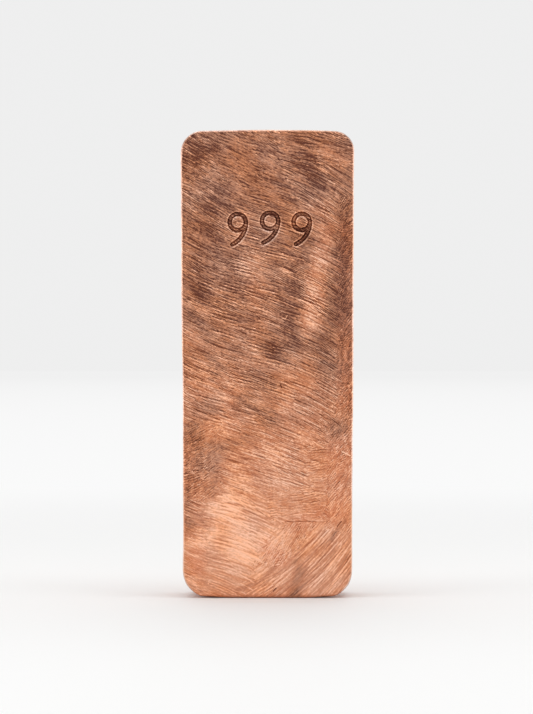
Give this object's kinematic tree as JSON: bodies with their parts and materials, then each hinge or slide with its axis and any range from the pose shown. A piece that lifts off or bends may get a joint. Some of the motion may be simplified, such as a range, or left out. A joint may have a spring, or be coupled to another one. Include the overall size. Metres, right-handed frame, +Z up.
{
  "type": "copper ingot",
  "caption": "Cast copper bar that stands on its squared short end, with drafted walls, rounded corners and a hand-ground front face.",
  "frame": {"origin": "middle of the squared foot, where the ingot stands on the floor", "axes": "+Z up along the ingot's length, +X across its width, +Y from the ground front face to the back that lay on the mould's floor"},
  "size_m": [0.0448, 0.0216, 0.1205],
  "materials": {
    "copper": "ground with a coarse disc and lightly tarnished"
  },
  "bodies": {
    "root": {"ingot": "copper"}
  },
  "joints": []
}
